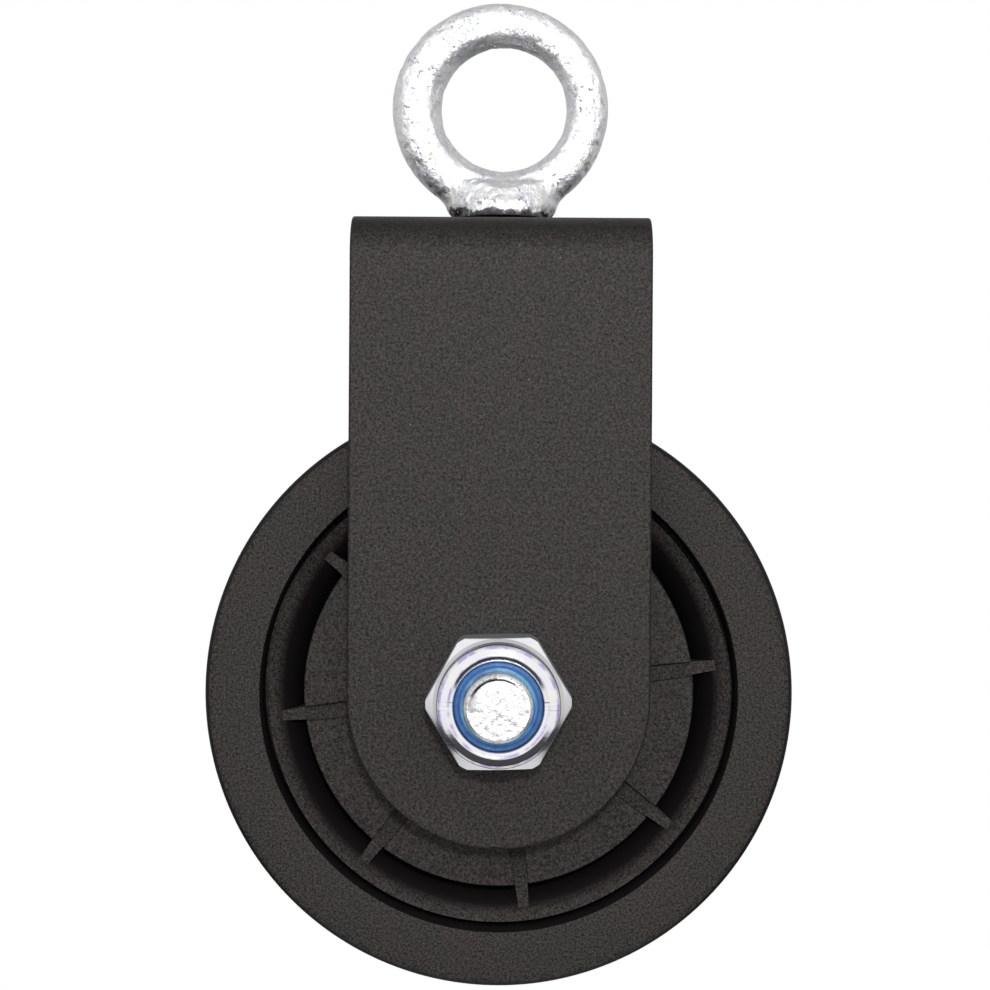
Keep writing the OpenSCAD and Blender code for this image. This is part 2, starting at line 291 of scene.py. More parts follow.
class Paint:
    """A Principled material and short ways to add procedural nodes to it."""

    def __init__(self, name, base, metallic=0.0, roughness=0.5, **sockets):
        self.material = bpy.data.materials.new(name)
        self.material.use_nodes = True
        self.tree = self.material.node_tree
        self.shader = self.tree.nodes["Principled BSDF"]
        self.shader.inputs["Base Color"].default_value = (*base, 1)
        self.shader.inputs["Metallic"].default_value = metallic
        self.shader.inputs["Roughness"].default_value = roughness
        for socket, value in sockets.items():
            self.shader.inputs[socket.replace("_", " ")].default_value = value
        self.place = self.node("ShaderNodeTexCoord").outputs["Object"]

    def node(self, kind, **settings):
        new = self.tree.nodes.new(kind)
        for key, value in settings.items():
            setattr(new, key, value)
        return new

    def link(self, source, target):
        self.tree.links.new(source, target)

    def noise(self, size_mm, detail=2.0, roughness=0.5, stretch=None, place=None):
        """Noise whose features are about size_mm across."""
        new = self.node("ShaderNodeTexNoise")
        new.inputs["Scale"].default_value = 1 / (size_mm * MM)
        new.inputs["Detail"].default_value = detail
        new.inputs["Roughness"].default_value = roughness
        source = place or self.place
        if stretch:
            mapping = self.node("ShaderNodeMapping")
            mapping.inputs["Scale"].default_value = stretch
            self.link(source, mapping.inputs["Vector"])
            source = mapping.outputs["Vector"]
        self.link(source, new.inputs["Vector"])
        return new.outputs["Fac"]

    def grain(self, size_mm):
        """A speckle of two sizes, without the winding lines that a single noise shows."""
        coarse = self.noise(size_mm * 1.25, detail=2, roughness=0.8)
        fine = self.noise(size_mm * 0.8, detail=3, roughness=0.8, stretch=(1.13, 0.9, 1.07))
        return self.math("MULTIPLY", self.math("ADD", coarse, fine), 0.5)

    def spread(self, source, low, high, to_low=0.0, to_high=1.0):
        """Maps low..high to to_low..to_high, clamped."""
        new = self.node("ShaderNodeMapRange", clamp=True)
        limits = {"From Min": low, "From Max": high, "To Min": to_low, "To Max": to_high}
        for socket, value in limits.items():
            new.inputs[socket].default_value = value
        self.link(source, new.inputs["Value"])
        return new.outputs["Result"]

    def band(self, source, start, full, fall, end):
        """1 from full to fall, and 0 below start and above end."""
        return self.math("MINIMUM", self.spread(source, start, full), self.spread(source, end, fall))

    def colours(self, source, *stops):
        """A colour ramp of (position, (r, g, b)) stops."""
        new = self.node("ShaderNodeValToRGB")
        ramp = new.color_ramp
        while len(ramp.elements) < len(stops):
            ramp.elements.new(0.5)
        for element, (position, colour) in zip(ramp.elements, stops):
            element.position = position
            element.color = (*colour, 1)
        self.link(source, new.inputs["Fac"])
        return new.outputs["Color"]

    def mix(self, factor, a, b, blend="MIX"):
        """Mixes two colours. Each may be a socket or an (r, g, b)."""
        new = self.node("ShaderNodeMix", data_type="RGBA", blend_type=blend)
        for value, socket in ((factor, new.inputs[0]), (a, new.inputs[6]), (b, new.inputs[7])):
            if isinstance(value, bpy.types.NodeSocket):
                self.link(value, socket)
            else:
                socket.default_value = (*value, 1) if isinstance(value, tuple) else value
        return new.outputs[2]

    def math(self, operation, a, b):
        new = self.node("ShaderNodeMath", operation=operation)
        for value, socket in ((a, new.inputs[0]), (b, new.inputs[1])):
            if isinstance(value, bpy.types.NodeSocket):
                self.link(value, socket)
            else:
                socket.default_value = value
        return new.outputs[0]

    def bump(self, *layers):
        """Bump layers of (height socket, depth in mm, strength), one over the other."""
        normal = None
        for height, depth_mm, strength in layers:
            new = self.node("ShaderNodeBump")
            new.inputs["Distance"].default_value = depth_mm * MM
            new.inputs["Strength"].default_value = strength
            self.link(height, new.inputs["Height"])
            if normal:
                self.link(normal, new.inputs["Normal"])
            normal = new.outputs["Normal"]
        self.link(normal, self.shader.inputs["Normal"])

    def set(self, socket, source):
        self.link(source, self.shader.inputs[socket])

    def round_axle(self):
        """The distance from the axle's line, and the angle round it."""
        place = self.xyz()
        x, up = place["X"], self.math("SUBTRACT", place["Z"], AXLE_Z * MM)
        squares = self.math("ADD", self.math("MULTIPLY", x, x), self.math("MULTIPLY", up, up))
        return self.math("POWER", squares, 0.5), self.math("ARCTAN2", up, x)

    def xyz(self, vector=None):
        """The three parts of a vector, or of the place on the piece."""
        parts = self.node("ShaderNodeSeparateXYZ")
        self.link(vector or self.place, parts.inputs[0])
        return parts.outputs

    def facing_axle(self):
        """1 where the piece's face is square to the axle, 0 where it lies along it."""
        normal = self.xyz(self.node("ShaderNodeTexCoord").outputs["Normal"])
        return self.math("ABSOLUTE", normal["Y"], 0)

    def facing_out(self):
        """1 where the face looks away from the block's middle plane, 0 where it looks towards it."""
        normal = self.xyz(self.node("ShaderNodeTexCoord").outputs["Normal"])
        return self.spread(self.math("MULTIPLY", normal["Y"], self.xyz()["Y"]), 0, 0.0005)


def powder_coat():
    """Fine-textured black coat with painted shade on its rounded edges and bends, and a few pale specks."""
    paint = Paint("powder_coat", (0.018, 0.015, 0.014), roughness=0.48, Specular_IOR_Level=0.15)
    grain = paint.grain(0.36)
    cloud = paint.noise(6, detail=3)
    dark = paint.colours(grain, (0.4, (0.002, 0.001, 0.001)), (0.62, (0.053, 0.045, 0.042)))
    speck = paint.spread(paint.noise(0.5, detail=1), 0.76, 0.8, 0, 0.6)
    dark = paint.mix(speck, dark, (0.22, 0.21, 0.2))
    tinted = paint.mix(paint.spread(cloud, 0.35, 0.65, 0, 0.8), dark, (0.87, 1.0, 0.96), "MULTIPLY")
    # Painted shade: faces on rounded edges and bends, turned part-way from the axle's direction, are
    # darkened to near-black.
    facing = paint.facing_axle()
    tilt_shade = paint.spread(facing, 0.72, 0.995, 0.7, 0)
    painted_shade = paint.math("MINIMUM", tilt_shade, paint.spread(facing, 0.02, 0.15))
    paint.set("Base Color", paint.mix(painted_shade, tinted, (0.006, 0.005, 0.005)))
    paint.set("Roughness", paint.spread(grain, 0.3, 0.7, 0.54, 0.4))
    paint.bump((grain, 0.1, 0.9), (paint.noise(1.6, detail=2), 0.05, 0.3))
    return paint.material


def black_nylon():
    """Moulded nylon with painted shade on the channel's slope inside the rim and on the rim's rounded outer
    edge.
    """
    paint = Paint("black_nylon", (0.017, 0.015, 0.013), roughness=0.48, Specular_IOR_Level=0.1)
    grain = paint.grain(0.3)
    cloud = paint.noise(8, detail=3)
    dark = paint.colours(grain, (0.4, (0.003, 0.002, 0.002)), (0.62, (0.062, 0.054, 0.051)))
    tinted = paint.mix(paint.spread(cloud, 0.35, 0.65, 0, 0.7), dark, (0.88, 1.0, 0.96), "MULTIPLY")
    # Painted shade: the channel's slope inside the rim and the rim's rounded outer edge are darkened by how
    # far their faces turn from the axle's direction.
    facing = paint.facing_axle()
    out, _ = paint.round_axle()
    inside_rim = paint.spread(out, 35 * MM, 36 * MM, 1, 0)
    slope = paint.math("MULTIPLY", paint.spread(facing, 0.3, 0.92, 0.42, 0), inside_rim)
    edge = paint.math("MULTIPLY", paint.spread(facing, 0.74, 0.86, 0.97, 0), paint.facing_out())
    painted_shade = paint.math("MULTIPLY", paint.math("MAXIMUM", slope, edge), paint.spread(facing, 0.01, 0.1))
    paint.set("Base Color", paint.mix(painted_shade, tinted, (0.005, 0.004, 0.004)))
    paint.set("Roughness", paint.spread(grain, 0.3, 0.7, 0.58, 0.44))
    paint.bump((grain, 0.08, 0.8), (paint.noise(2.2, detail=2), 0.05, 0.25))
    return paint.material


def zinc_plate():
    """Bright zinc plate with the mottled yellow and violet of its passivation. On the axle nut, violet
    rings on the lip are painted reflection, and the rougher hexagon flanks carry painted shade.
    """
    roughness, base = 0.08, (0.8, 0.8, 0.81)
    paint = Paint("zinc_plate", base, metallic=1.0, roughness=roughness)
    film = paint.noise(2, detail=2)
    tints = paint.colours(
        film, (0.34, (0.84, 0.8, 0.62)), (0.45, (0.76, 0.77, 0.8)), (0.55, (0.7, 0.68, 0.8)),
        (0.66, (0.66, 0.78, 0.84))
    )
    tilt = paint.facing_axle()
    out, _ = paint.round_axle()
    # Painted reflection: violet rings on the axle nut's lip, in patches with the passivation film, stand
    # for the dark reflections on its inner slope and at its outer foot.
    inner_rim = paint.band(out, 6.9 * MM, 7.05 * MM, 7.25 * MM, 7.45 * MM)
    outer_rim = paint.band(out, 8.2 * MM, 8.35 * MM, 8.6 * MM, 8.8 * MM)
    lip_reflection_rings = paint.math("MAXIMUM", inner_rim, outer_rim)
    strength = paint.math("MULTIPLY", paint.spread(film, 0.42, 0.58, 0.1, 0.75), lip_reflection_rings)
    mottled = paint.mix(0.25, base, tints)
    violet_reflection = paint.mix(strength, mottled, (0.34, 0.26, 0.62))
    # Painted shade: the axle nut's hexagon flanks, which lie along the axle, are painted a darker grey.
    on_axle_nut = paint.spread(out, 12 * MM, 13 * MM, 1, 0)
    flank_shade = paint.math("MULTIPLY", paint.spread(tilt, 0.1, 0.3, 0.65, 0), on_axle_nut)
    paint.set("Base Color", paint.mix(flank_shade, violet_reflection, (0.3, 0.3, 0.33)))
    fine = paint.noise(0.25, detail=3)
    skin = paint.spread(fine, 0.3, 0.75, roughness * 0.7, roughness * 1.5)
    slant, upright = paint.spread(tilt, 0.88, 0.93, 0.16, 0), paint.spread(tilt, 0.1, 0.3, 0.22, 0)
    on_nut = paint.math("MULTIPLY", paint.math("ADD", slant, upright), on_axle_nut)
    elsewhere = paint.spread(out, 12 * MM, 13 * MM, 0, 0.3)
    paint.set("Roughness", paint.math("ADD", skin, paint.math("MAXIMUM", on_nut, elsewhere)))
    paint.bump((fine, 0.015, 0.3), (paint.noise(1.1, detail=2), 0.03, 0.25))
    return paint.material


def forged_zinc():
    """Zinc plate over a forging's skin: grain, scale marks, folds, dark pits, and a ragged dark band at the
    collar's foot that is partly black paint and partly painted shade.
    """
    paint = Paint("forged_zinc", (0.82, 0.82, 0.84), metallic=1.0, roughness=0.34)
    grain = paint.noise(0.28, detail=3, roughness=0.7)
    scale = paint.noise(1.1, detail=4, roughness=0.65)
    pit = paint.spread(paint.noise(0.5, detail=3, roughness=0.7), 0.58, 0.66)
    patch = paint.spread(paint.noise(4.5, detail=2), 0.5, 0.6)
    pits = paint.math("MULTIPLY", pit, patch)
    film = paint.noise(3.5, detail=2)
    clean = paint.colours(
        film, (0.32, (0.84, 0.85, 0.82)), (0.48, (0.84, 0.84, 0.85)), (0.6, (0.8, 0.8, 0.85)),
        (0.7, (0.78, 0.84, 0.83))
    )
    skin = paint.mix(paint.spread(scale, 0.5, 0.68, 0, 0.5), clean, (0.6, 0.6, 0.63))
    fold = paint.math("ABSOLUTE", paint.math("SUBTRACT", paint.noise(1.8, detail=3, roughness=0.6), 0.5), 0)
    folds = paint.math("MULTIPLY", paint.spread(fold, 0, 0.02, 0.5, 0), paint.spread(film, 0.45, 0.55))
    folded = paint.mix(folds, skin, (0.42, 0.42, 0.45))
    pitted = paint.mix(paint.math("MULTIPLY", pits, 0.6), folded, (0.3, 0.29, 0.34))
    # Painted shade: a ragged dark band up the collar from the seat, partly black paint left on the forging
    # and partly painted shade and dark reflection of the strap's crown.
    ragged_shade_edge = paint.spread(paint.noise(2.2, detail=3), 0.3, 0.7, -0.9 * MM, 0.9 * MM)
    up = paint.math("ADD", paint.xyz()["Z"], ragged_shade_edge)
    foot = paint.spread(up, (EYE_SEAT_Z + 1.7) * MM, (EYE_SEAT_Z + 2.1) * MM, 0.9, 0)
    paint.set("Base Color", paint.mix(foot, pitted, (0.04, 0.033, 0.033)))
    paint.set("Roughness", paint.spread(grain, 0.3, 0.75, 0.24, 0.48))
    height = paint.math("SUBTRACT", paint.math("ADD", scale, paint.math("MULTIPLY", grain, 0.5)), pits)
    paint.bump((paint.noise(2.6, detail=2), 0.15, 0.6), (height, 0.2, 1.0))
    return paint.material


def bolt_end():
    """Plated bolt whose cropped end has marks that run out from its middle, and painted shade in the
    crevice of its last thread.
    """
    paint = Paint("zinc_bolt", (0.84, 0.84, 0.84), metallic=1.0, roughness=0.36)
    out, angle = paint.round_axle()
    spoke = paint.node("ShaderNodeCombineXYZ")
    paint.link(paint.math("MULTIPLY", angle, 4 * MM), spoke.inputs[0])
    paint.link(paint.math("MULTIPLY", out, 0.35), spoke.inputs[1])
    marks = paint.noise(0.35, detail=3, roughness=0.6, place=spoke.outputs[0])
    pits = paint.noise(0.5, detail=4, roughness=0.7)
    worn = paint.colours(pits, (0.38, (0.42, 0.42, 0.41)), (0.5, (0.72, 0.72, 0.72)))
    # Painted shade: the crevice left by the last thread, over the upper part of the cropped end, is painted
    # near-black.
    circle = paint.band(out, 3.9 * MM, 4.02 * MM, 4.2 * MM, 4.34 * MM)
    upper = paint.band(angle, 0.5, 1.1, 2.5, 2.8)
    at_tip = paint.spread(paint.xyz()["Y"], -STRAP_Y * MM, 0, 1, 0)
    crevice_shade = paint.math("MULTIPLY", paint.math("MULTIPLY", circle, upper), at_tip)
    paint.set("Base Color", paint.mix(crevice_shade, worn, (0.03, 0.03, 0.035)))
    paint.set("Roughness", paint.spread(marks, 0.3, 0.7, 0.28, 0.5))
    paint.bump((marks, 0.04, 0.5), (pits, 0.1, 0.8))
    return paint.material


def blue_nylon():
    """Blue ring with a painted highlight, pale cyan in patches, round its inner edge next to the thread."""
    paint = Paint("blue_nylon", (0.035, 0.17, 0.5), roughness=0.3, Specular_IOR_Level=0.5)
    paint.shader.inputs["Subsurface Weight"].default_value = 0.15
    paint.shader.inputs["Subsurface Radius"].default_value = (0.0003, 0.0006, 0.0015)
    flow = paint.noise(1.2, detail=3)
    body = paint.colours(flow, (0.3, (0.035, 0.1, 0.3)), (0.7, (0.05, 0.16, 0.38)))
    out, _ = paint.round_axle()
    # Painted highlight: a pale cyan band in patches round the ring's inner edge stands for the glints on
    # its inner bead.
    inner_highlight = paint.spread(out, 5.05 * MM, 5.5 * MM, 1, 0)
    highlight_patches = paint.spread(paint.noise(5, detail=1), 0.42, 0.6)
    paint.set("Base Color", paint.mix(paint.math("MULTIPLY", inner_highlight, highlight_patches), body, (0.16, 0.48, 0.6)))
    paint.set("Roughness", paint.spread(paint.noise(0.4), 0.3, 0.7, 0.15, 0.3))
    paint.bump((paint.noise(0.6, detail=2), 0.03, 0.25))
    return paint.material


def turned_steel(name, base, roughness):
    """Steel with faint rings along the axle."""
    paint = Paint(name, base, metallic=1.0, roughness=roughness)
    rings = paint.noise(0.3, detail=2, stretch=(0.25, 4, 0.25))
    paint.set("Base Color", paint.colours(
        paint.noise(4, detail=2), (0.3, tuple(0.92 * c for c in base)), (0.7, base)))
    paint.set("Roughness", paint.spread(rings, 0.3, 0.7, roughness * 0.8, roughness * 1.3))
    paint.bump((rings, 0.01, 0.3))
    return paint.material


def plain_plastic(name, base, roughness):
    """Matt plastic or rubber with a fine grain."""
    paint = Paint(name, base, roughness=roughness)
    grain = paint.noise(0.3, detail=2)
    paint.set("Base Color", paint.colours(grain, (0.3, tuple(0.85 * c for c in base)), (0.7, base)))
    paint.set("Roughness", paint.spread(grain, 0.3, 0.7, roughness * 0.85, min(1, roughness * 1.15)))
    paint.bump((grain, 0.02, 0.3))
    return paint.material


# ---- pieces ----


def finish_piece(piece, body, slot, material, *nodes):
    """Gives a piece its material and body, and hides the CAD nodes that it stands for. The slot argument is
    not used.
    """
    piece.data.materials.clear()
    piece.data.materials.append(material)
    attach(piece, body)
    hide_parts(*nodes)
    return piece


def strap_mesh():
    """The bar as a bent plate: rows run along it, and each row is a closed loop round its section."""
    thick = STRAP_Y - CHEEK_Y
    edge = STRAP_EDGE_R
    mid_y = (STRAP_Y + CHEEK_Y) / 2
    mid_bend_r = STRAP_BEND_R - thick / 2
    bend_z = CROWN_Z - STRAP_BEND_R
    bend_len = mid_bend_r * math.pi / 2
    leg_len = bend_z - AXLE_Z
    crown_len = mid_y - mid_bend_r
    total = leg_len + bend_len + crown_len

    def bent(u, v, w):
        """Bends flat plate coordinates (across, along from the crown's middle, out from mid-plane)."""
        side = np.sign(v) + (v == 0)
        far = np.abs(v)
        angle = np.clip((far - crown_len) / mid_bend_r, 0, math.pi / 2)
        reach = np.minimum(far, crown_len) + (mid_bend_r + w) * np.sin(angle)
        fall = mid_bend_r - (mid_bend_r + w) * np.cos(angle)
        fall = np.where(angle > 0, fall, -w)
        below = np.maximum(far - crown_len - bend_len, 0)
        z = CROWN_Z - thick / 2 - fall - below
        return np.stack([u, side * reach, z], -1)

    foot = [math.radians(a) for a in np.linspace(88.5, 0, 40)]
    legs = list(np.linspace(0, leg_len, 14)[1:])
    bends = list(leg_len + np.linspace(0, bend_len, 18)[1:])
    crown = list(leg_len + bend_len + np.linspace(0, crown_len, 6)[1:-1])
    stations = [("foot", a) for a in foot] + [("bar", s) for s in legs + bends + crown]
    columns = 14
    section = arc((0, 0), 1, 90, 0, 5)

    def row(kind, at, inset):
        """Half the width and the distance from the crown's middle, at a station along one half."""
        half = STRAP_HALF_W - inset
        if kind == "foot":
            return half * math.cos(at), total + half * math.sin(at)
        return half, total - at

    loops = [(1, kind, at) for kind, at in stations] + [(1, "bar", total)]
    loops += [(-1, kind, at) for kind, at in reversed(stations)]
    points, faces = [], []
    profile = [(edge * (1 - a[0]), thick / 2 - edge * (1 - a[1])) for a in section]
    profile += [(inset, -w) for inset, w in reversed(profile)]
    for sign, kind, at in loops:
        ring = []
        for inset, w in profile:
            half, v = row(kind, at, inset)
            ring.append((half, sign * v, w))
        low_half, low_v = row(kind, at, edge)
        inner = [(low_half * (1 - 2 * k / columns), sign * low_v, -thick / 2) for k in range(1, columns)]
        left = [(-u, v, w) for u, v, w in reversed(ring)]
        outer = [(-low_half * (1 - 2 * k / columns), sign * low_v, thick / 2) for k in range(1, columns)]
        points.append(ring + inner + left + outer)
    size = len(points[0])
    for i in range(len(points) - 1):
        for k in range(size):
            n = (k + 1) % size
            faces.append((i * size + k, i * size + n, (i + 1) * size + n, (i + 1) * size + k))
    faces += [tuple(range(size)), tuple(range((len(points) - 1) * size, len(points) * size))]
    flat = np.array([p for loop in points for p in loop])
    return make_mesh("strap_body", bent(flat[:, 0], flat[:, 1], flat[:, 2]), faces)


def rod(name, radius, low, high, place):
    return lathe(name, [(0, low), (radius, low), (radius, high), (0, high)], place, 96, closed=False)


def make_strap(material):
    strap = strap_mesh()
    axle_hole = rod("axle_hole", AXLE_HOLE_R, -THROUGH, THROUGH, on_axle)
    crown_hole = rod("crown_hole", SHANK_R + SHANK_PLAY, CROWN_Z - 9, CROWN_Z + 4, on_shank)
    combine(strap, [axle_hole, crown_hole], "DIFFERENCE")
    shade(strap, 40)
    strap.modifiers.new("flat_faces", "WEIGHTED_NORMAL").keep_sharp = True
    return finish_piece(strap, "frame", "powder_coat", material, "strap")


def bulge(a, b, radius, steps=10):
    """Points along the arc from a to b that bulges to the right of the way between them."""
    a, b = np.array(a, float), np.array(b, float)
    half = np.linalg.norm(b - a) / 2
    heading = math.atan2(b[1] - a[1], b[0] - a[0])
    sink = math.sqrt(radius ** 2 - half ** 2)
    centre = (a + b) / 2 + sink * np.array((-math.sin(heading), math.cos(heading)))
    sweep = math.degrees(math.asin(half / radius))
    middle = math.degrees(heading) - 90
    return arc(centre, radius, middle - sweep, middle + sweep, steps)


def sheave_outline():
    """The sheave's section, from the groove's bottom round one face to the bore and back."""
    bottom = np.array((TREAD_R + GROOVE_R, 0.0))
    edge = np.array((SHEAVE_R - RIM_EDGE_R, RIM_Z - RIM_EDGE_R))
    across = edge - bottom
    lean = math.degrees(math.atan2(across[1], across[0]))
    lean += math.degrees(math.acos((GROOVE_R + RIM_EDGE_R) / np.linalg.norm(across)))
    groove = arc(bottom, GROOVE_R, 180, lean, 8)[1:] + arc(edge, RIM_EDGE_R, lean - 180, 90, 12)
    slope = [(r, h, 0) for r, h in bulge((GAP_INNER_R, SHOULDER_Z), (CHANNEL_R, CHANNEL_Z), SLOPE_R)]
    face = rounded([
        (edge[0], RIM_Z, 0), (GAP_OUTER_R, RIM_Z, 0.12), (GAP_OUTER_R, GAP_FLOOR_Z, 0.2),
        (GAP_INNER_R, GAP_FLOOR_Z, 0.2)
    ] + slope + [
        (DISC_R, CHANNEL_Z, 0.1), (DISC_R, DISC_Z, 0.25), (BOSS_R, DISC_Z, 0.6), (BOSS_R, RIM_Z, 0.5),
        (BEARING_R, RIM_Z, 0.4), (BEARING_R, BEARING_STOP_Z, 0), (LAND_R, BEARING_STOP_Z, 0)
    ], closed=False)
    half = groove + face[1:]
    return [(TREAD_R, 0)] + half + [(r, -h) for r, h in reversed(half)]


def rib_blocks(outline, low, high):
    """One block for each rib and side, at its angle."""
    blocks = []
    for side in (1, -1):
        for i in range(RIB_COUNT):
            turn = RIB_ANGLE + i * 2 * math.pi / RIB_COUNT
            c, s = math.cos(turn), math.sin(turn)
            turned = [(x * c - y * s, x * s + y * c) for x, y in outline]
            ends = sorted((side * low, side * high))
            blocks.append(prism("rib", turned, *ends, on_axle))
    return blocks


def make_sheave(material):
    """The wheel, with a slot across the disc over each rib and the rib's wall on across the channel."""
    sheave = lathe("sheave_wheel", sheave_outline(), on_axle, segments=256)
    near, far = SLOT_ROOT_T / 2, SLOT_T / 2
    slot = [(BOSS_R, -near), (DISC_R + 1, -far), (DISC_R + 1, far), (BOSS_R, near)]
    combine(sheave, rib_blocks(slot, RIB_Z, DISC_Z + 1), "DIFFERENCE")
    root, tip = RIB_ROOT_T / 2, RIB_TIP_T / 2
    rib = [(DISC_R - 1, -root), (RIB_END_R, -tip), (RIB_END_R, tip), (DISC_R - 1, root)]
    blocks = rib_blocks(rib, 1, RIB_Z)
    combine(sheave, blocks, "UNION")
    shade(sheave, 32)
    return finish_piece(sheave, "sheave", "black_nylon", material, "sheave")


def hexagon(half_flat, turn, softness=0.12):
    """A function that holds radii inside a hexagon with slightly rounded corners."""

    def held(radius, angle):
        folded = (angle - turn) % (math.pi / 3) - math.pi / 6
        flat = half_flat / np.cos(folded)
        gap = np.clip(0.5 + (flat - radius) / (2 * softness), 0, 1)
        return flat * (1 - gap) + radius * gap - softness * gap * (1 - gap)

    return held


def hex_corners(half_flat, corner_r, low, high, low_chamfer, high_chamfer):
    """Outline corners up the outside of a hexagon, with 30 degree chamfers where asked."""
    face_r = half_flat - 0.05
    drop = (corner_r - face_r) * math.tan(math.radians(30))
    foot = [(face_r, low, 0.1), (corner_r, low + drop, 0.15)] if low_chamfer else [(corner_r, low, 0.1)]
    top = [(corner_r, high - drop, 0.15), (face_r, high, 0.1)] if high_chamfer else [(corner_r, high, 0.1)]
    return foot + top


def make_lock_nut(name, place, seat, sign, sizes, turn):
    """A self-locking nut: hexagon, round collar and a lip crimped over the nylon ring."""
    bore_r, half_flat, corner_r, height, hex_h, collar_r, crest_r = sizes
    corners = [(bore_r, 0.6, 0), (bore_r + 0.6, 0, 0.1)]
    corners += hex_corners(half_flat, corner_r, 0, hex_h, True, True)
    inner_r, pocket_r = bore_r + 0.48, bore_r + NUT_WALL
    lip = [(collar_r, hex_h + 0.55, 0.3), (collar_r, height - 0.46, 0.75), (crest_r, height, 0.8)]
    lip += [(inner_r, height - 0.3, 0.2), (inner_r, height - 1.6, 0.1), (pocket_r, height - 1.7, 0)]
    outline = refined(rounded(corners + lip, closed=False, steps=8), 0.16)
    pocket_floor = hex_h - 0.9
    outline += [(pocket_r, pocket_floor), (bore_r, pocket_floor)]
    outline = [(r, seat + sign * h) for r, h in outline]
    hexed = hexagon(half_flat, turn)

    def shape(radius, angle, height_now):
        """Flattens the hexagon's sides and presses three small nicks into each side of the lip."""
        inside = np.abs(height_now - seat) <= hex_h + 0.1
        outer_skin = radius > half_flat - 0.4
        on_lip = np.clip((np.abs(height_now - seat) - height + 0.8) / 0.3, 0, 1)
        turned = (angle + math.pi / 2) % math.pi - math.pi / 2
        nicks = sum(np.exp(-((turned - at) / 0.022) ** 2) for at in (-0.07, 0.01, 0.08))
        height_now = height_now - sign * 0.04 * nicks * on_lip
        return np.where(inside & outer_skin, hexed(radius, angle), radius), height_now

    return lathe(name, outline, place, segments=360, shape=shape, sharp_degrees=40)


def nut_ring(name, place, seat, sign, outline):
    """The nylon ring inside a lock nut, from its section's corners above the nut's seat."""
    outline = [(r, seat + sign * h) for r, h in rounded(outline, steps=5)]
    return lathe(name, outline, place, segments=160)


def make_axle_pieces(paints):
    """The axle's lock nut, the blue ring that its lip holds, and the bolt."""
    sizes = NutSizes(
        bore_r=AXLE_R, half_flat=HEX_HALF_FLAT, corner_r=HEX_CORNER_R, height=AXLE_NUT_H, hex_h=8.0,
        collar_r=8.9, crest_r=7.3)
    nut = make_lock_nut("axle_lock_nut", on_axle, STRAP_Y, 1, sizes, NUT_TURN)
    finish_piece(nut, "frame", "zinc_plate", paints["zinc_plate"], "axle_nut")
    top, pocket_r = AXLE_NUT_H, AXLE_R + NUT_WALL
    ring = nut_ring("axle_nylon_ring", on_axle, STRAP_Y, 1, [
        (AXLE_R, top - 3.5, 0), (pocket_r, top - 3.5, 0), (pocket_r, top - 1.8, 0.1),
        (6.42, top - 1.8, 0.05), (6.38, top - 0.95, 0.2), (5.85, top - 0.8, 0.2), (5.5, top - 0.42, 0.2),
        (5.12, top - 0.4, 0.2), (4.97, top - 0.9, 0.1), (AXLE_R, top - 1.6, 0)
    ])
    finish_piece(ring, "frame", "blue_nylon", paints["blue_nylon"], "axle_nut_insert")
    make_axle_bolt(paints["zinc_bolt"])


def make_axle_bolt(material):
    """A hexagon bolt whose last thread leaves a curved crevice in its cropped end."""
    head_top = -STRAP_Y - HEAD_H
    head = [(corner[0], -STRAP_Y - corner[1], corner[2])
            for corner in reversed(hex_corners(HEX_HALF_FLAT, HEX_CORNER_R, 0, HEAD_H, False, True))]
    nut_top = STRAP_Y + AXLE_NUT_H
    corners = [(0, head_top, 0)] + head + [
        (AXLE_R, -STRAP_Y, 0.1), (AXLE_R, nut_top - 1.5, 0), (4.95, nut_top - 0.5, 0.1),
        (BOLT_TIP_R, BOLT_TIP_Z - 0.45, 0.15), (4.5, BOLT_TIP_Z - 0.05, 0.12), (0, BOLT_TIP_Z, 0)
    ]
    outline = refined(rounded(corners, closed=False, steps=4), 0.6)
    outline = outline[:-1] + refined(outline[-2:], 0.08)[1:]
    hexed = hexagon(HEX_HALF_FLAT, 0)

    def shape(radius, angle, height):
        in_head = (height <= -STRAP_Y + 0.01) & (radius > HEX_HALF_FLAT - 0.5)
        radius = np.where(in_head, hexed(radius, angle), radius)
        at_tip = height > BOLT_TIP_Z - 0.3
        along = (angle - math.radians(20)) % (2 * math.pi)
        last_turn = np.clip(1 - np.abs(along - math.radians(95)) / math.radians(80), 0, 1)
        groove_r = CREVICE_R - 0.1 * along
        groove = np.exp(-((radius - groove_r) / 0.17) ** 2) * np.sqrt(last_turn) * CREVICE_DEPTH
        x, y = radius * np.cos(angle), radius * np.sin(angle)
        rough = waves(np.stack([x, y, 0 * x], -1).reshape(-1, 3), 1.6, 11).reshape(x.shape)
        dents = 0.035 * np.clip(rough, -1.2, 1.2) - 0.05
        return radius, np.where(at_tip, height - groove + np.where(radius < 4.4, dents, 0), height)

    bolt = lathe("axle_hex_bolt", outline, on_axle, 360, closed=False, shape=shape, sharp_degrees=40)
    finish_piece(bolt, "frame", "zinc_bolt", material, "axle_bolt")


# The eye and its neck are one smooth surface, found from a distance field


def blend_min(a, b, reach):
    """The nearer of two distances, with a fillet of about reach where they meet."""
    h = np.clip(0.5 + 0.5 * (b - a) / reach, 0, 1)
    return b * (1 - h) + a * h - reach * h * (1 - h)


def waves(points, size, seed):
    """A smooth field of about -1 to 1 with features of the given size, from turned sine waves."""
    rng = np.random.default_rng(seed)
    total = np.zeros(len(points))
    count = 14
    for _ in range(count):
        heading = rng.normal(size=3)
        heading /= np.linalg.norm(heading)
        turns = points @ heading * (2 * math.pi / size) * rng.uniform(0.6, 1.5)
        total += np.sin(turns + rng.uniform(0, 6.3))
    return total / math.sqrt(count)


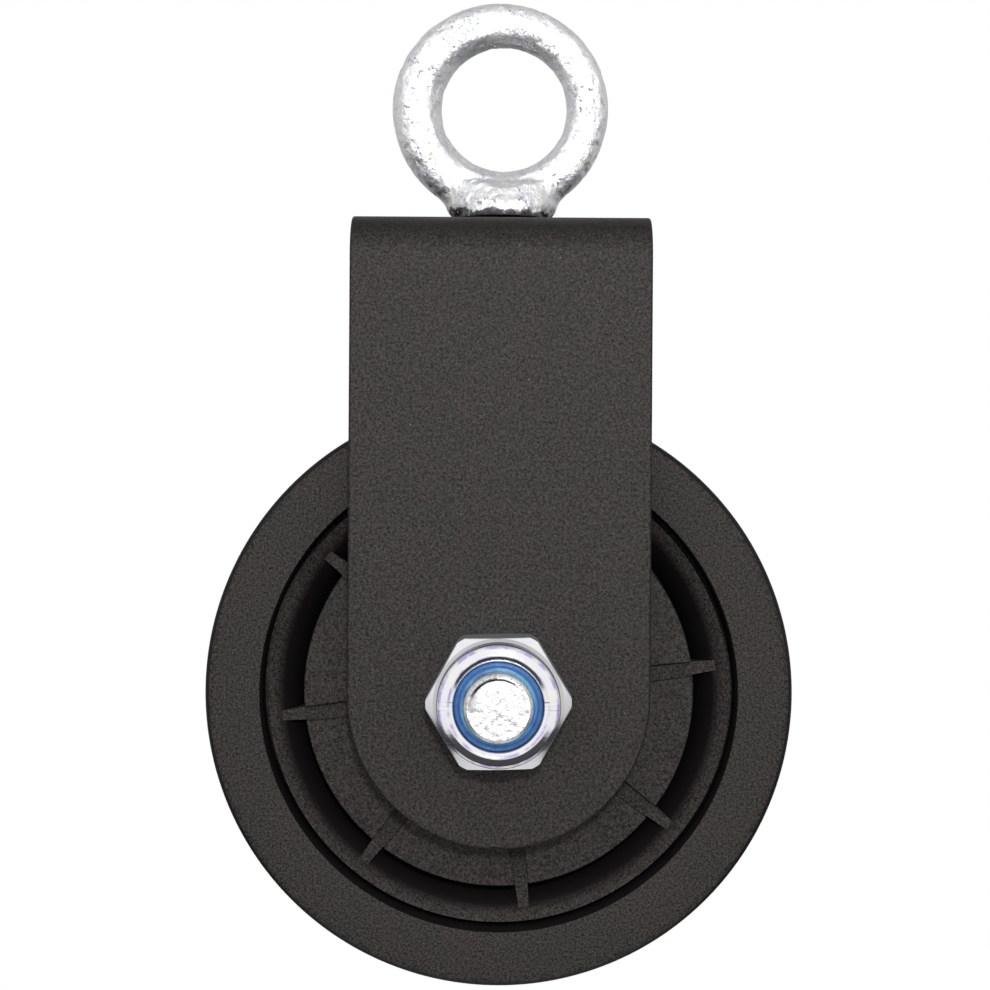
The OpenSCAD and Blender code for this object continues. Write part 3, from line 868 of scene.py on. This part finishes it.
def eye_distance(p):
    """Distance from the eye's skin: an uneven ring, its flared neck and round collar, and the shank."""
    x, y, z = p[:, 0], p[:, 1], p[:, 2]
    out = np.hypot(x, z)
    flat_top = FLAT_TOP * np.clip(z / np.maximum(out, 1), 0, 1) ** 2
    tube_r = RING_TUBE_R - RING_OFFSET * x / np.maximum(out, 1) - flat_top
    middle = (RING_OUTER_R + EYE_HOLE_R) / 2 - flat_top
    section = np.abs(out - middle) ** SECTION_POWER + np.abs(y) ** SECTION_POWER
    ring = section ** (1 / SECTION_POWER) - tube_r
    height = z - EYE_SEAT_Z
    half_wide = COLLAR_R - 0.07 + 0.13 * np.clip(height - 1.6, 0, 2.8)
    half_deep = NECK_HALF_DEEP - 0.5 * np.clip(height - 1.8, 0, 5.4)
    neck = (np.hypot(x / half_wide, y / half_deep) - 1) * half_deep * 0.75
    collar = np.maximum(np.hypot(x, y) - COLLAR_R, height - COLLAR_H)
    neck = np.maximum(blend_min(neck, collar, 0.5), height - NECK_H)
    round_foot = -blend_min(-neck, height, NECK_FOOT_R)
    from_hole = np.hypot(x - RING_OFFSET, z)
    solid = np.maximum(blend_min(ring, round_foot, 0.8), EYE_HOLE_R - from_hole)
    lead_in = (np.abs(y) - LEAD_IN_HALF) * math.cos(LEAD_IN_TILT)
    lead_in = lead_in - (from_hole - LEAD_IN_R) * math.sin(LEAD_IN_TILT)
    solid = np.maximum(solid, lead_in)
    shank = np.maximum(np.hypot(x, y) - SHANK_R, -1 - height)
    return np.minimum(solid, np.maximum(shank, height - 1))


def eye_start():
    """A coarse watertight start for the eye, which the field then pulls into shape."""
    rings, sides = 96, 28
    points, faces = [], []
    for i in range(rings):
        a = 2 * math.pi * i / rings
        for k in range(sides):
            b = 2 * math.pi * k / sides
            r = EYE_HOLE_R + RING_TUBE_R + RING_TUBE_R * math.cos(b)
            points.append((r * math.cos(a), RING_TUBE_R * math.sin(b), r * math.sin(a)))
            n, m = (i + 1) % rings, (k + 1) % sides
            faces.append((i * sides + k, i * sides + m, n * sides + m, n * sides + k))
    ring = make_mesh("forged_eye", points, faces)
    neck = lathe("neck", [
        (0, EYE_SEAT_Z - 1), (SHANK_R, EYE_SEAT_Z - 1), (SHANK_R, EYE_SEAT_Z), (COLLAR_R, EYE_SEAT_Z),
        (COLLAR_R, EYE_SEAT_Z + 2.4), (5, EYE_SEAT_Z + 6), (0, EYE_SEAT_Z + 6)
    ], on_shank, 96, closed=False)
    combine(ring, [neck], "UNION")
    return ring


def make_forged_eye(material):
    """Moves each point of the start along the field's slope to the skin, then dents it like a forging."""
    eye = eye_start()
    remesh = eye.modifiers.new("remesh", "REMESH")
    remesh.mode = "VOXEL"
    remesh.voxel_size = 0.3 * MM
    apply_modifiers(eye)
    mesh = eye.data
    flat = np.empty(len(mesh.vertices) * 3)
    mesh.vertices.foreach_get("co", flat)
    points = flat.reshape(-1, 3) / MM
    step = 0.02
    for _ in range(10):
        here = eye_distance(points)
        slope = np.stack([
            (eye_distance(points + step * axis) - eye_distance(points - step * axis)) / (2 * step)
            for axis in np.eye(3)], -1)
        points = points - slope * (here / np.maximum((slope ** 2).sum(-1), 0.2))[:, None]
    free = np.clip((points[:, 2] - EYE_SEAT_Z - 0.4) / 1.5, 0, 1)
    dents = 0
    for size, seed, least, deepest in ((4.5, 3, 0.2, 0.12), (1.6, 5, 0, 0.1), (0.9, 7, 0.4, 0.05)):
        dents = dents + np.clip(waves(points, size, seed) - least, 0, None) * deepest
    points = points - slope * (dents * free)[:, None]
    mesh.vertices.foreach_set("co", (points * MM).ravel())
    mesh.update()
    shade(eye)
    return finish_piece(eye, "eye", "forged_zinc", material, "eye_bolt")


def make_shank(material):
    """The threaded shank below the eye's collar."""
    end = SHANK_END_Z
    thread_top = CROWN_Z - 4.2
    heights = np.arange(end + 0.05, thread_top, SHANK_PITCH / 12)
    outline = [(0, end), (3.8, end)] + [(SHANK_R, h) for h in heights] + [
        (SHANK_R, thread_top), (SHANK_R, EYE_SEAT_Z - 0.5), (0, EYE_SEAT_Z - 0.5)]

    def shape(radius, angle, height):
        phase = (height / SHANK_PITCH + angle / (2 * math.pi)) % 1
        groove = SHANK_THREAD_DEPTH * np.clip(1.6 * np.abs(phase - 0.5) * 2 - 0.35, 0, 1)
        run_in = np.clip((height - end) / 0.9, 0, 1)
        cut = np.where(height < thread_top - 0.01, groove, 0)
        threaded = np.minimum(SHANK_R - cut, 4.0 + run_in * 1.0)
        return np.where(radius > 4.5, threaded, radius), height

    shank = lathe("eye_shank", outline, on_shank, 120, closed=False, shape=shape, sharp_degrees=None)
    return finish_piece(shank, "eye", "zinc_plate", material, "eye_bolt")


def make_eye_pieces(paints):
    """The eye, its shank, and the lock nut, blue ring and washer below the crown."""
    make_forged_eye(paints["forged_zinc"])
    make_shank(paints["zinc_plate"])
    seat = eye_nut_high[2]
    sizes = NutSizes(
        bore_r=SHANK_R, half_flat=(eye_nut_high[1] - eye_nut_low[1]) / 2, corner_r=eye_nut_high[0],
        height=EYE_NUT_H, hex_h=6.6, collar_r=7.9, crest_r=6.4)
    nut = make_lock_nut("eye_lock_nut", on_shank, seat, -1, sizes, 0)
    finish_piece(nut, "eye", "zinc_plate", paints["zinc_plate"], "eye_nut")
    top, pocket_r = EYE_NUT_H, SHANK_R + NUT_WALL
    ring = nut_ring("eye_nylon_ring", on_shank, seat, -1, [
        (SHANK_R, top - 3.1, 0), (pocket_r, top - 3.1, 0), (pocket_r, top - 1.8, 0.1),
        (SHANK_R + 0.42, top - 1.8, 0.05), (SHANK_R + 0.36, top - 0.8, 0.2), (SHANK_R, top - 0.8, 0.1)
    ])
    finish_piece(ring, "eye", "blue_nylon", paints["blue_nylon"], "eye_nut_insert")
    bore_r, washer_r = SHANK_R + 0.02, washer_high[0]
    outline = rounded([
        (bore_r, washer_low[2], 0.1), (washer_r, washer_low[2], 0.35),
        (washer_r, washer_high[2], 0.2), (bore_r, washer_high[2], 0.1)
    ])
    washer = lathe("eye_flat_washer", outline, on_shank, segments=160)
    finish_piece(washer, "eye", "zinc_plate", paints["zinc_plate"], "eye_washer")


def repaint(node, material):
    """A CAD node whose shape is right keeps its mesh and gets a better material."""
    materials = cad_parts[node].data.materials
    materials.clear()
    materials.append(material)


# ---- build ----

paints = {
    "powder_coat": powder_coat(),
    "black_nylon": black_nylon(),
    "zinc_plate": zinc_plate(),
    "forged_zinc": forged_zinc(),
    "zinc_bolt": bolt_end(),
    "blue_nylon": blue_nylon(),
    "spacer_steel": turned_steel("spacer_steel", (0.6, 0.6, 0.62), 0.35),
    "bearing_steel": turned_steel("bearing_steel", (0.62, 0.63, 0.65), 0.2),
    "ball_steel": turned_steel("ball_steel", (0.78, 0.78, 0.8), 0.08),
    "cage_nylon": plain_plastic("cage_nylon", (0.5, 0.42, 0.28), 0.5),
    "seal_rubber": plain_plastic("seal_rubber", (0.03, 0.03, 0.032), 0.7),
}

make_strap(paints["powder_coat"])
make_sheave(paints["black_nylon"])
make_axle_pieces(paints)
make_eye_pieces(paints)

BEARING_PAINTS = {
    "outer_ring": "bearing_steel", "inner_ring": "bearing_steel", "balls": "ball_steel",
    "cage": "cage_nylon", "outboard_seal": "seal_rubber", "inboard_seal": "seal_rubber",
}
for spacer in ("front_spacer", "rear_spacer", "bearing_spacer"):
    repaint(spacer, paints["spacer_steel"])
for end in ("front", "rear"):
    for part, paint_name in BEARING_PAINTS.items():
        repaint(f"{end}_bearing_{part}", paints[paint_name])

# ---- floor, light and camera ----

# In metres from here on
FLOOR_Z = -0.6
FLOOR_SIZE = 0.8

# The world's brightness is one ramp by the angle to the tent's middle times one by the height.
# Each stop is (cosine or height, grey)
TENT_AXIS = (-0.05, -0.94, 0.33)
TENT_STOPS = ((-1, 0.55), (-0.55, 0.65), (0.2, 0.68), (0.4, 0.7), (0.52, 1.05), (1, 1.1))
RISE_STOPS = (
    (-1, 0.5), (-0.97, 0.5), (-0.94, 0.85), (-0.89, 0.75), (-0.83, 0.07), (-0.42, 0.07),
    (-0.33, 0.95), (0, 1.0), (0.7, 1.0), (0.93, 0.85), (1, 0.8)
)
KEY_PLACE = (0.03, -0.55, 0.08)
KEY_SIZE = 0.04
KEY_WATTS = 1.7
KEY_TARGET = (0, 0, -0.06)

CAMERA_DISTANCE = 0.300
CAMERA_HEIGHT = AXLE_Z * MM + 0.0326
CAMERA_LENS = 69.27
CAMERA_SHIFT = (-0.005, -0.0176)
CAMERA_ROLL = math.radians(-0.36)


def make_floor():
    half = FLOOR_SIZE / 2 / MM
    corners = [(-half, -half), (half, -half), (half, half), (-half, half)]
    floor = make_mesh("floor", [(x, y, FLOOR_Z / MM) for x, y in corners], [(0, 1, 2, 3)])
    paint = Paint("floor", (0.92, 0.92, 0.92), roughness=0.9)
    floor.data.materials.append(paint.material)


def ramp_node(tree, source, low, stops):
    """A grey ramp over source, which runs from low to 1. The stops are (source value, grey)."""
    level = tree.nodes.new("ShaderNodeMapRange")
    level.inputs["From Min"].default_value = low
    ramp = tree.nodes.new("ShaderNodeValToRGB")
    while len(ramp.color_ramp.elements) < len(stops):
        ramp.color_ramp.elements.new(0.5)
    for element, (value, grey) in zip(ramp.color_ramp.elements, stops):
        element.position = (value - low) / (1 - low)
        element.color = (grey, grey, grey, 1)
    tree.links.new(source, level.inputs["Value"])
    tree.links.new(level.outputs["Result"], ramp.inputs["Fac"])
    return ramp.outputs["Color"]


def make_world():
    """White to the camera. It lights the object as a white tent, greyer at the back, over a dark table."""
    world = bpy.data.worlds.new("studio")
    bpy.context.scene.world = world
    world.use_nodes = True
    tree = world.node_tree
    nodes, links = tree.nodes, tree.links
    nodes.clear()
    heading = nodes.new("ShaderNodeTexCoord").outputs["Generated"]
    toward = nodes.new("ShaderNodeVectorMath")
    toward.operation = "DOT_PRODUCT"
    toward.inputs[1].default_value = Vector(TENT_AXIS).normalized()
    links.new(heading, toward.inputs[0])
    parts = nodes.new("ShaderNodeSeparateXYZ")
    links.new(heading, parts.inputs[0])
    tent = ramp_node(tree, toward.outputs["Value"], -1, TENT_STOPS)
    rise = ramp_node(tree, parts.outputs["Z"], -1, RISE_STOPS)
    both = nodes.new("ShaderNodeMix")
    both.data_type = "RGBA"
    both.blend_type = "MULTIPLY"
    both.inputs[0].default_value = 1
    links.new(tent, both.inputs[6])
    links.new(rise, both.inputs[7])
    room = nodes.new("ShaderNodeBackground")
    links.new(both.outputs[2], room.inputs["Color"])
    white = nodes.new("ShaderNodeBackground")
    white.inputs["Color"].default_value = (1, 1, 1, 1)
    path = nodes.new("ShaderNodeLightPath")
    mix = nodes.new("ShaderNodeMixShader")
    links.new(path.outputs["Is Camera Ray"], mix.inputs["Fac"])
    links.new(room.outputs[0], mix.inputs[1])
    links.new(white.outputs[0], mix.inputs[2])
    output = nodes.new("ShaderNodeOutputWorld")
    links.new(mix.outputs[0], output.inputs["Surface"])


def make_key_light():
    """A small square light near the camera. It draws the thin shadow below the strap's round end."""
    light = bpy.data.lights.new("key", "AREA")
    light.shape = "SQUARE"
    light.size = KEY_SIZE
    light.energy = KEY_WATTS
    lamp = bpy.data.objects.new("key", light)
    lamp.location = KEY_PLACE
    way = Vector(KEY_TARGET) - Vector(KEY_PLACE)
    lamp.rotation_euler = way.to_track_quat("-Z", "Y").to_euler()
    bpy.context.scene.collection.objects.link(lamp)


def make_camera():
    camera = bpy.data.cameras.new("camera")
    camera.sensor_width = 36
    camera.lens = CAMERA_LENS
    camera.shift_x, camera.shift_y = CAMERA_SHIFT
    camera.clip_start = 0.01
    holder = bpy.data.objects.new("camera", camera)
    holder.location = (0, -CAMERA_DISTANCE, CAMERA_HEIGHT)
    holder.rotation_euler = (math.pi / 2, CAMERA_ROLL, 0)
    bpy.context.scene.collection.objects.link(holder)
    bpy.context.scene.camera = holder


make_floor()
make_world()
make_key_light()
make_camera()
bpy.context.scene.view_settings.view_transform = "Standard"
